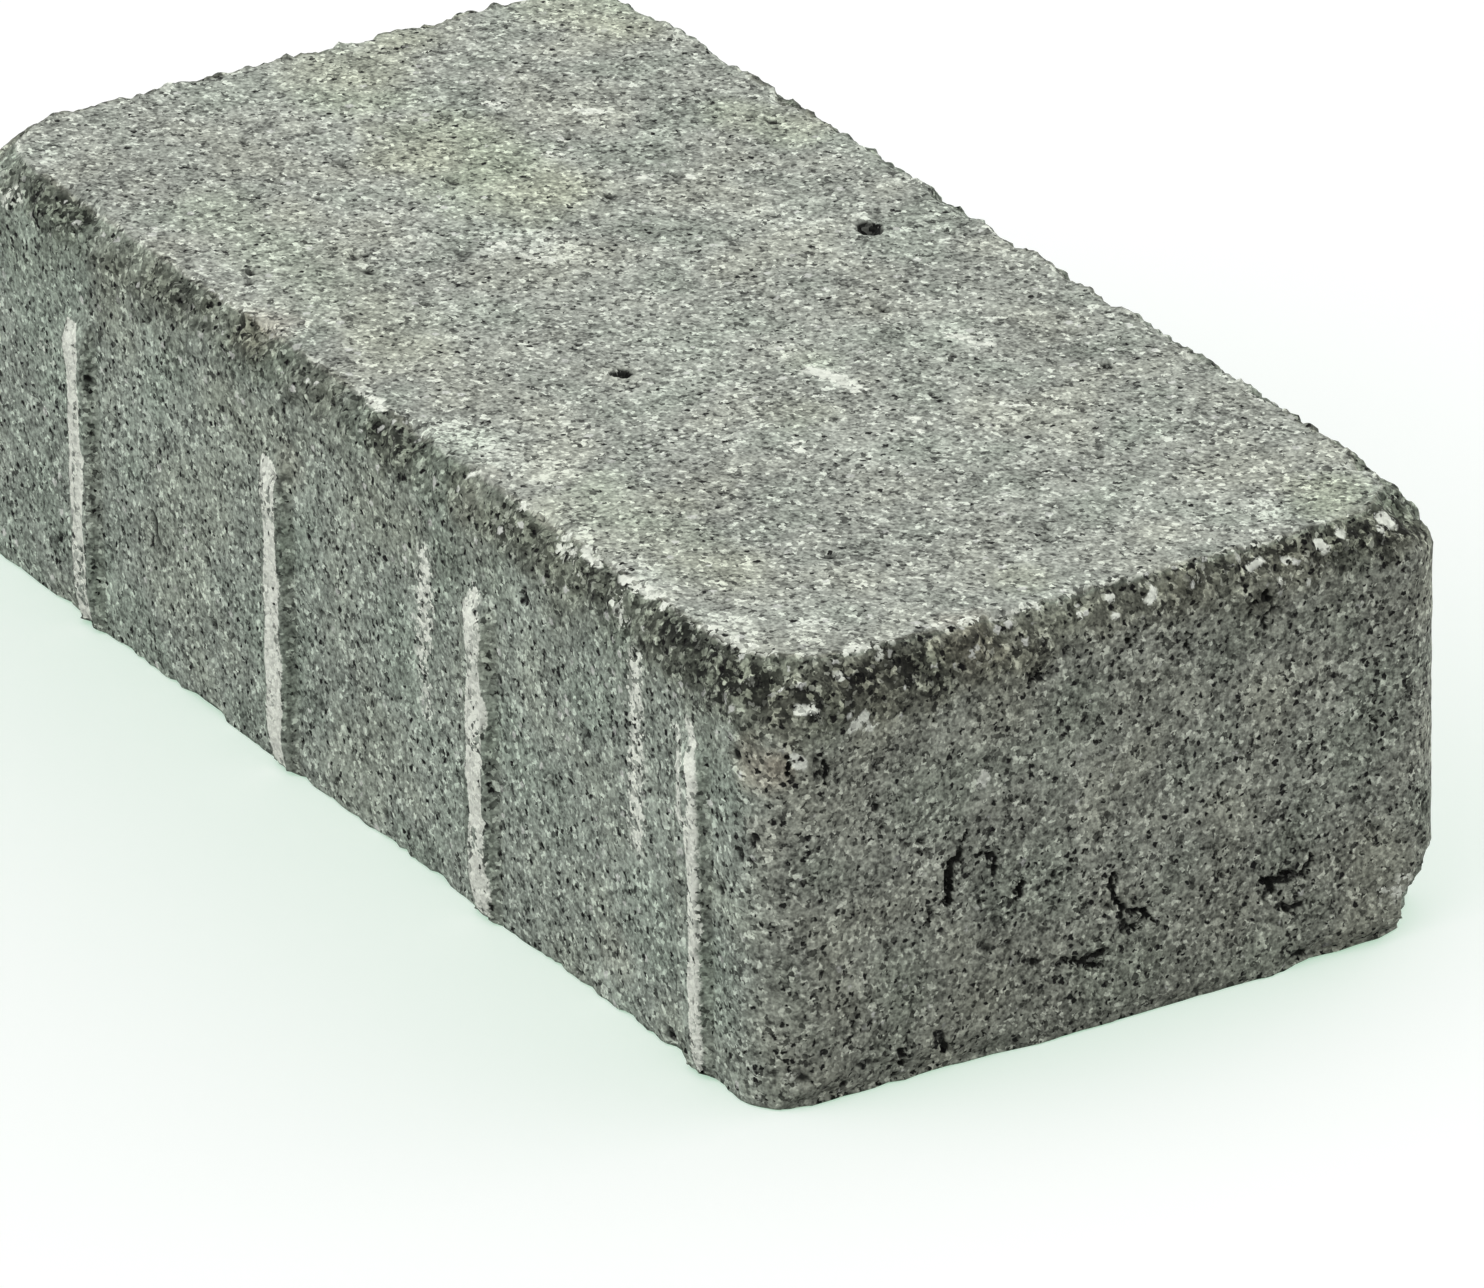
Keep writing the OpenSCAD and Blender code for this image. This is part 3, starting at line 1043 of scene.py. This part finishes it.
class Graph:
    """Short ways to add nodes to one node tree and to join them."""

    def __init__(self, tree):
        self.tree = tree

    def node(self, kind, inputs=(), **settings):
        """Add a node. Each input is a socket to join or a value to set."""
        node = self.tree.nodes.new(kind)
        for name, value in settings.items():
            setattr(node, name, value)
        for key, value in dict(inputs).items():
            self.feed(node.inputs[key], value)
        return node

    def feed(self, socket, value):
        """Join a socket to an input, or set the input's value."""
        if isinstance(value, bpy.types.NodeSocket):
            self.tree.links.new(value, socket)
        else:
            socket.default_value = value

    def math(self, operation, *values, clamp=False):
        """Result of a Math node."""
        inputs = dict(enumerate(values))
        return self.node("ShaderNodeMath", inputs, operation=operation, use_clamp=clamp).outputs[0]

    def span(self, value, low, high, to_low=0.0, to_high=1.0):
        """Value carried smoothly from one span to another."""
        inputs = {"Value": value, "From Min": low, "From Max": high, "To Min": to_low, "To Max": to_high}
        return self.node("ShaderNodeMapRange", inputs, interpolation_type="SMOOTHSTEP").outputs["Result"]

    def noise(self, place, size, detail=2.0, roughness=0.5):
        """Noise with features of about a size in mm."""
        inputs = {"Vector": place, "Scale": 1 / size, "Detail": detail, "Roughness": roughness}
        return self.node("ShaderNodeTexNoise", inputs).outputs["Fac"]

    def tones(self, place, size):
        """A chance value for each of the grains of a size in mm."""
        cells = self.node("ShaderNodeTexVoronoi", {"Vector": place, "Scale": 1 / size})
        return self.node("ShaderNodeSeparateColor", {"Color": cells.outputs["Color"]}).outputs["Red"]

    def curve(self, value, stops):
        """Value carried along straight lines between stops, each a value and its result."""
        (low, start), *rest = stops
        result = start
        for high, end in rest:
            inputs = {"Value": value, "From Min": low, "From Max": high, "To Max": end - start}
            climb = self.node("ShaderNodeMapRange", inputs).outputs["Result"]
            result = self.math("ADD", climb, result)
            low, start = high, end
        return result

    def mask(self, name):
        """A mask painted on the mesh."""
        return self.node("ShaderNodeAttribute", attribute_name=name).outputs["Fac"]

    def mix(self, share, first, second, blend="MIX"):
        """Two colours mixed."""
        node = self.node("ShaderNodeMix", data_type="RGBA", blend_type=blend)
        self.feed(node.inputs[0], share)
        self.feed(node.inputs[6], first)
        self.feed(node.inputs[7], second)
        return node.outputs[2]

    def colours(self, value, stops):
        """Colours at stops between 0 and 1, blended in between."""
        node = self.node("ShaderNodeValToRGB", {"Fac": value})
        elements = node.color_ramp.elements
        while len(elements) < len(stops):
            elements.new(1.0)
        for element, (position, colour) in zip(elements, stops):
            element.position = position
            element.color = rgba(colour)
        return node.outputs["Color"]

    def scaled(self, colour, level):
        """A colour or a place multiplied by one value."""
        return self.node("ShaderNodeVectorMath", {0: colour, "Scale": level}, operation="SCALE").outputs[0]


def specks_group():
    """Node group of strewn specks, some fainter than others. Share is how many places hold one."""
    tree = bpy.data.node_groups.new("Strewn specks", "ShaderNodeTree")
    tree.interface.new_socket("Vector", in_out="INPUT", socket_type="NodeSocketVector")
    tree.interface.new_socket("Spacing", in_out="INPUT", socket_type="NodeSocketFloat")
    tree.interface.new_socket("Share", in_out="INPUT", socket_type="NodeSocketFloat")
    tree.interface.new_socket("Mask", in_out="OUTPUT", socket_type="NodeSocketFloat")
    graph = Graph(tree)
    source = graph.node("NodeGroupInput")
    scale = graph.math("DIVIDE", 1.0, source.outputs["Spacing"])
    cells = graph.node("ShaderNodeTexVoronoi", {"Vector": source.outputs["Vector"], "Scale": scale})
    chance = graph.node("ShaderNodeSeparateColor", {"Color": cells.outputs["Color"]})
    chosen = graph.math("LESS_THAN", chance.outputs["Red"], source.outputs["Share"])
    radius = graph.math("MULTIPLY_ADD", chance.outputs["Green"], 0.24, 0.24)
    depth = graph.math("DIVIDE", cells.outputs["Distance"], radius)
    speck = graph.span(depth, 1.0, 0.6)
    strength = graph.math("MULTIPLY", chosen, graph.span(chance.outputs["Blue"], 0.0, 0.5, 0.4, 1.0))
    result = graph.node("NodeGroupOutput")
    graph.feed(result.inputs["Mask"], graph.math("MULTIPLY", speck, strength))
    return tree


class ConcreteGraph(Graph):
    """Nodes of the concrete. Its layers share the places in mm, the masks, the sand, pores and grains."""

    # Sizes of what shows in the concrete, in mm
    BEND = 0.7
    CLUMP = 2.2
    PORE_GAP = 1.05
    LIGHT_GRAIN_GAP = 1.6
    # Size of the crumbs between which the shoulder is darkened
    SHADE_CRUMB = 0.95
    STREAK = 1.1

    def __init__(self, tree, finish):
        super().__init__(tree)
        self.finish = finish
        self.masks = {name: self.mask(name) for name in Skin.MASKS}
        self.place = self.scaled(self.node("ShaderNodeTexCoord").outputs["Object"], 1 / MM)
        self.bent = self.crooked(self.place)
        self.tone = self.tones(self.bent, finish.grain / MM)
        self.sand = self.noise(self.place, finish.grain / MM, 1.0, 0.6)
        self.clump = self.noise(self.place, self.CLUMP)
        self.specks = specks_group()
        shaded = self.masks["shaded"]
        # Pores: specks painted dark as the shade inside tiny holes, more where the texture is open and on
        # the shoulder, fewer on the scraped crests
        pores = self.math("MULTIPLY_ADD", shaded, 0.3, self.masks["open"])
        pores = self.math("MULTIPLY", pores, self.span(self.masks["crest"], 0.0, 0.2, 0.53, 0.2))
        self.pore = self.strewn(self.PORE_GAP, pores)
        light_grains = self.math("MULTIPLY_ADD", shaded, 0.12, 0.06)
        self.light_grain = self.strewn(self.LIGHT_GRAIN_GAP, light_grains)
        self.pore_shade = self.math("MULTIPLY_ADD", self.pore, -0.98, 1.0)

    def crooked(self, place):
        """Places bent a little this way and that, so that the grains have crooked outlines."""
        warp = self.node("ShaderNodeTexNoise", {"Vector": place, "Scale": 2.2, "Detail": 0.0})
        inputs = {0: warp.outputs["Color"], 1: (self.BEND,) * 3, 2: place}
        return self.node("ShaderNodeVectorMath", inputs, operation="MULTIPLY_ADD").outputs[0]

    def strewn(self, spacing, share):
        """Mask of specks a spacing in mm apart. A share of the places hold one."""
        inputs = {"Vector": self.bent, "Spacing": spacing, "Share": share}
        return self.node("ShaderNodeGroup", inputs, node_tree=self.specks).outputs["Mask"]

    def cement(self):
        """Grey of the cement with its sand grains, its clumps, its drifts and its pale bloom."""
        openness = self.masks["open"]
        layers = [
            (self.sand, self.span(openness, 0.5, 1.0, 2.2, 2.5)),
            (self.clump, self.span(openness, 0.2, 0.5, 1.5, 1.1)),
            (self.noise(self.place, 7.0, 1.0), 0.8),
            (self.noise(self.place, 25.0, 1.0), 0.5),
        ]
        level = 1.0
        for value, weight in layers:
            level = self.math("MULTIPLY_ADD", self.math("SUBTRACT", value, 0.5), weight, level)
        level = self.math("MAXIMUM", level, 0.2)
        level = self.math("MULTIPLY", level, self.curve(self.tone, GRAIN_TONES))
        bloom = self.math("MULTIPLY", self.masks["bloom"], self.span(self.tone, 0.0, 1.0, 0.3, 1.1))
        level = self.math("MULTIPLY_ADD", level, bloom, level)
        lightest = GRAIN_TONES[-1][1]
        return self.scaled(self.finish.cement[:], self.math("MINIMUM", level, lightest))

    def stained(self, colour):
        """A colour with the cement's drift, the tints of the sides with their painted shade, and the stains
        laid over it.
        """
        layers = [
            (1.0, self.colours(self.noise(self.place, 14.0, 1.0), DRIFT_TINTS)),
            # Tints of the sides, with painted shade on the long sides and ends
            (1.0, self.colours(self.masks["open"], SIDE_TINTS_AND_SHADE)),
            (self.masks["buff"], rgba(self.finish.buff)),
            (self.masks["brown"], rgba(self.finish.brown)),
            (self.masks["shaded"], rgba(self.finish.damp)),
        ]
        for share, tint in layers:
            colour = self.mix(share, colour, tint, "MULTIPLY")
        return colour

    def darkened(self, colour):
        """A colour darkened: on the shoulder partly as damp and partly as painted shade, on the ribs'
        flanks as painted shade, and in the pits, voids and pores as painted shade.
        """
        # The shoulder's darkening, damp and painted shade, falls between its crumbs and spares the lighter
        # ones
        matrix = self.span(self.tones(self.bent, self.SHADE_CRUMB), 0.4, 1.0, 1.0, 0.2)
        patch = self.span(self.noise(self.place, 3.5, 1.0), 0.35, 0.65, 0.75, 1.1)
        dark = self.math("MULTIPLY", self.masks["shaded"], self.math("MULTIPLY", matrix, patch))
        level = self.math("MAXIMUM", self.math("SUBTRACT", 1.0, dark), 0.06)
        # Painted shade in the pits and voids, darker the deeper they are, and in the pores
        hollow = self.span(self.masks["hollow"], 0.12, 0.55, 1.0, 0.05)
        level = self.math("MULTIPLY", self.math("MULTIPLY", level, hollow), self.pore_shade)
        return self.scaled(colour, level)

    def grained(self, colour):
        """A colour with light grains lying open in it."""
        light = self.scaled(self.finish.light_grain[:], self.math("MULTIPLY_ADD", self.tone, 0.5, 0.75))
        return self.mix(self.math("MULTIPLY", self.light_grain, 0.8), colour, light)

    def scraped(self, colour):
        """A colour scraped pale down the ribs, along the rim and in the scuffs."""
        upright = {0: self.place, 1: (1.0, 0.3, 0.1)}
        drawn_out = self.node("ShaderNodeVectorMath", upright, operation="MULTIPLY").outputs[0]
        ragged = self.math("MULTIPLY_ADD", self.math("SUBTRACT", self.sand, 0.5), 0.3, self.masks["crest"])
        band = self.span(ragged, 0.44, 0.56)
        streaky = self.span(self.noise(drawn_out, self.STREAK, 1.0), 0.3, 0.62, 0.8, 1.35)
        patchy = self.span(self.noise(self.place, 6.0, 1.0), 0.35, 0.6, 0.62, 1.2)
        rubbed = self.math("MULTIPLY", band, self.math("MULTIPLY", streaky, patchy))
        worn = self.math("MAXIMUM", self.masks["worn"], rubbed)
        share = self.span(self.math("MULTIPLY_ADD", self.tone, 0.9, worn), 0.7, 1.45)
        gritty = self.scaled(self.finish.worn[:], self.math("MULTIPLY_ADD", self.tone, 0.36, 0.67))
        # Pores keep their painted shade where the skin is scraped pale
        return self.mix(self.math("MULTIPLY", share, self.pore_shade), colour, gritty)

    def grain_relief(self):
        """Normal with the relief of the sand, the clumps and the pores."""
        height = self.math("MULTIPLY_ADD", self.clump, 0.8, self.sand)
        height = self.math("MULTIPLY_ADD", self.pore, -1.2, height)
        inputs = {"Height": height, "Strength": 1.0, "Distance": self.finish.grain_relief}
        return self.node("ShaderNodeBump", inputs).outputs["Normal"]


def concrete_material(finish):
    """Sandy grey concrete, dark and open at the shoulder, scraped pale at the rim and on the ribs."""
    material = bpy.data.materials.new("Sandy concrete")
    graph = ConcreteGraph(bare_tree(material), finish)
    colour = graph.cement()
    for layer in (graph.stained, graph.darkened, graph.grained, graph.scraped):
        colour = layer(colour)
    shader = graph.node("ShaderNodeBsdfPrincipled", {
        "Base Color": colour,
        "Roughness": finish.roughness,
        "Specular IOR Level": finish.sheen,
        "Normal": graph.grain_relief(),
    })
    graph.node("ShaderNodeOutputMaterial", {"Surface": shader.outputs["BSDF"]})
    return material


def seen_directly(graph):
    """1 for rays from the camera and for what gloss and glass show, and 0 for other light."""
    path = graph.node("ShaderNodeLightPath")
    mirrored = graph.math("MAXIMUM", path.outputs["Is Glossy Ray"], path.outputs["Is Transmission Ray"])
    return graph.math("MAXIMUM", path.outputs["Is Camera Ray"], mirrored)


def floor_material(stage):
    """Pale floor that is white to the camera, keeps the stone's shadow and throws back some light."""
    material = bpy.data.materials.new("Pale floor")
    graph = Graph(bare_tree(material))
    glow = graph.node("ShaderNodeEmission", {"Color": rgba(stage.floor_glow), "Strength": 1.0})
    shade = graph.node("ShaderNodeBsdfDiffuse", {"Color": rgba(stage.floor_shade)})
    shown = graph.node("ShaderNodeAddShader", {0: glow.outputs[0], 1: shade.outputs[0]})
    bounce = graph.node("ShaderNodeBsdfDiffuse", {"Color": rgba((1, 1, 1), stage.floor_bounce)})
    either = {0: seen_directly(graph), 1: bounce.outputs[0], 2: shown.outputs[0]}
    mixed = graph.node("ShaderNodeMixShader", either)
    graph.node("ShaderNodeOutputMaterial", {"Surface": mixed.outputs[0]})
    return material


def light_world(scene, stage):
    """Soft light from overhead and from beyond both long sides, with a white background."""
    world = bpy.data.worlds.new("Studio")
    graph = Graph(bare_tree(world))
    axes = graph.node("ShaderNodeSeparateXYZ", {0: graph.node("ShaderNodeTexCoord").outputs["Generated"]})
    light = stage.fill
    for axis, strength in (("Y", stage.side_light), ("Z", stage.overhead)):
        squared = graph.math("MULTIPLY", axes.outputs[axis], axes.outputs[axis])
        light = graph.math("MULTIPLY_ADD", squared, strength, light)
    strength = graph.span(seen_directly(graph), 0.0, 1.0, light, 1.0)
    backdrop = graph.node("ShaderNodeBackground", {"Color": (1, 1, 1, 1), "Strength": strength})
    graph.node("ShaderNodeOutputWorld", {"Surface": backdrop.outputs[0]})
    scene.world = world


def aim_camera(scene, stage):
    """Camera with a long lens that looks down on the near corner."""
    turn, level = stage.azimuth, math.cos(stage.elevation)
    back = Vector((math.sin(turn) * level, -math.cos(turn) * level, math.sin(stage.elevation)))
    data = bpy.data.cameras.new("camera")
    data.lens = stage.lens
    camera = bpy.data.objects.new("camera", data)
    camera.rotation_mode = "QUATERNION"
    camera.rotation_quaternion = (-back).to_track_quat("-Z", "Y") @ Quaternion((0, 0, 1), stage.roll)
    camera.location = Vector(stage.aim) + back * stage.distance
    scene.collection.objects.link(camera)
    scene.camera = camera


def lay_floor(scene, stage):
    """Broad flat floor under the stone."""
    bm = bmesh.new()
    bmesh.ops.create_grid(bm, x_segments=1, y_segments=1, size=stage.floor_reach)
    mesh = bpy.data.meshes.new("floor")
    bm.to_mesh(mesh)
    bm.free()
    mesh.materials.append(floor_material(stage))
    floor = bpy.data.objects.new("floor", mesh)
    scene.collection.objects.link(floor)


class PAVING_OT_cast_stone(bpy.types.Operator):
    """Model the stone with its worn relief and give it its sandy finish"""

    bl_idname = "paving.cast_stone"
    bl_label = "Cast stone"

    def execute(self, context):
        scene = context.scene
        mesh = stone_mesh(scene.stone_sizes)
        mesh.materials.append(concrete_material(scene.concrete_finish))
        stone = bpy.data.objects.new(PIECE, mesh)
        scene.collection.objects.link(stone)
        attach(stone, BODY)
        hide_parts(NODE)
        return {"FINISHED"}


class PAVING_OT_set_stage(bpy.types.Operator):
    """Set up the pale floor, the soft light and the camera"""

    bl_idname = "paving.set_stage"
    bl_label = "Set stage"

    def execute(self, context):
        scene = context.scene
        stage = scene.studio_stage
        lay_floor(scene, stage)
        light_world(scene, stage)
        aim_camera(scene, stage)
        scene.view_settings.view_transform = "Standard"
        return {"FINISHED"}


class PAVING_PT_sidebar(bpy.types.Panel):
    """Lists the steps that make the stone, and their values"""

    bl_idname = "PAVING_PT_sidebar"
    bl_label = "Paving stone"
    bl_space_type = "VIEW_3D"
    bl_region_type = "UI"
    bl_category = "Paving"

    def draw(self, context):
        layout = self.layout
        layout.operator(PAVING_OT_cast_stone.bl_idname)
        layout.operator(PAVING_OT_set_stage.bl_idname)
        for group in (context.scene.stone_sizes, context.scene.concrete_finish, context.scene.studio_stage):
            box = layout.box()
            for name in group.__annotations__:
                box.prop(group, name)


CLASSES = (
    StoneSizes,
    ConcreteFinish,
    StudioStage,
    PAVING_OT_cast_stone,
    PAVING_OT_set_stage,
    PAVING_PT_sidebar,
)


def register():
    for cls in CLASSES:
        bpy.utils.register_class(cls)
    bpy.types.Scene.stone_sizes = PointerProperty(type=StoneSizes)
    bpy.types.Scene.concrete_finish = PointerProperty(type=ConcreteFinish)
    bpy.types.Scene.studio_stage = PointerProperty(type=StudioStage)


def unregister():
    del bpy.types.Scene.studio_stage
    del bpy.types.Scene.concrete_finish
    del bpy.types.Scene.stone_sizes
    for cls in reversed(CLASSES):
        bpy.utils.unregister_class(cls)


def main():
    register()
    bpy.ops.paving.set_stage()
    bpy.ops.paving.cast_stone()


if __name__ == "__main__":
    main()
